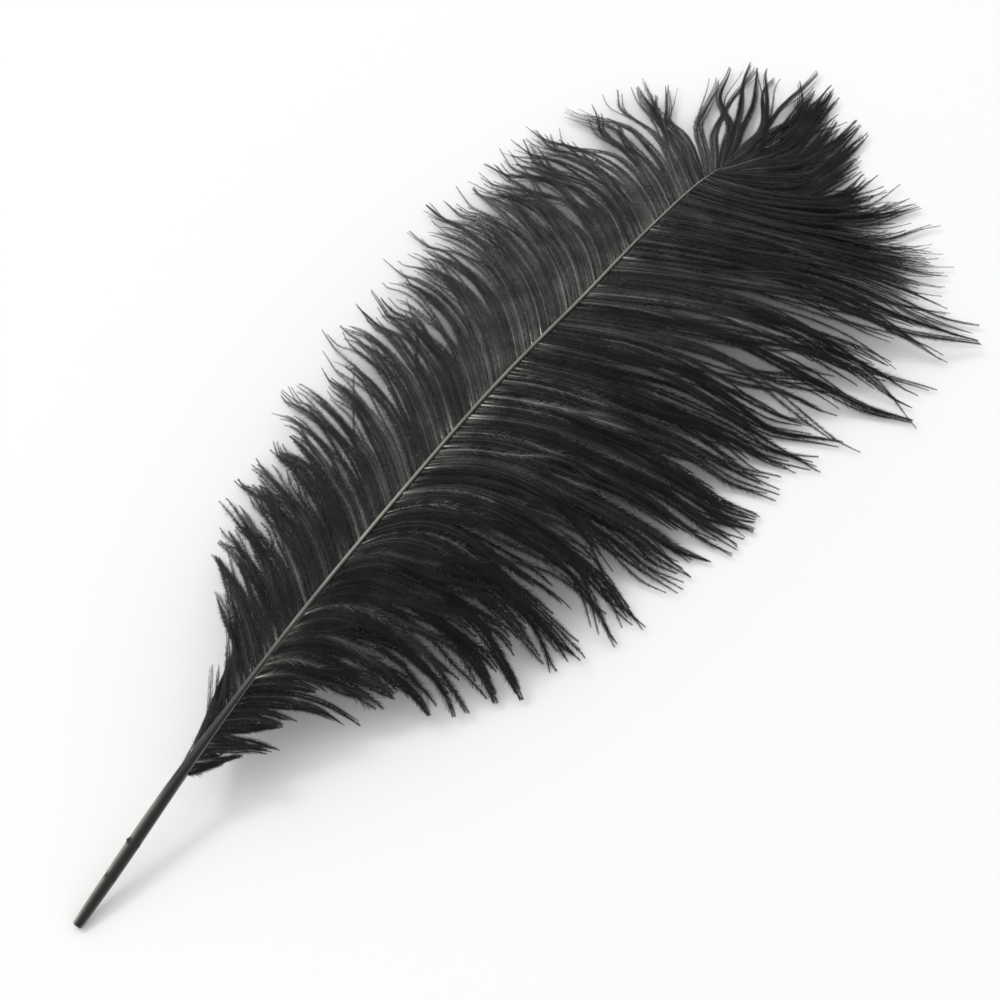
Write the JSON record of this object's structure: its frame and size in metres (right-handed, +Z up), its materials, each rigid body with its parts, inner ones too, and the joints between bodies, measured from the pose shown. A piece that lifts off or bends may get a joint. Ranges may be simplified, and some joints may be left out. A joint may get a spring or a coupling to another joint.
{
  "type": "ostrich feather",
  "caption": "Dyed ostrich wing plume lying arched on a surface: a bare quill running into a tapering shaft with long, loose, drooping barbs on both sides and a curled head.",
  "frame": {"origin": "middle of the whole plume seen from above, on the surface that it lies on", "axes": "+Y along the shaft from its cut end to the head, +X towards the wider vane, +Z up out of the surface"},
  "size_m": [0.197, 0.4534, 0.046],
  "materials": {
    "shaft": "dyed keratin with a soft sheen, near-black quill paling to grey-beige along the ridge",
    "barbs": "dyed black, soft fibres with a slight gloss on each barb"
  },
  "bodies": {
    "root": {"shaft": "shaft", "basal_down_right": "barbs", "right_vane_lower": "barbs", "right_vane_middle": "barbs", "right_vane_upper": "barbs", "right_crown": "barbs", "left_vane_lower": "barbs", "left_vane_middle": "barbs", "left_vane_upper": "barbs", "left_crown": "barbs", "tip_strands": "barbs"}
  },
  "joints": []
}
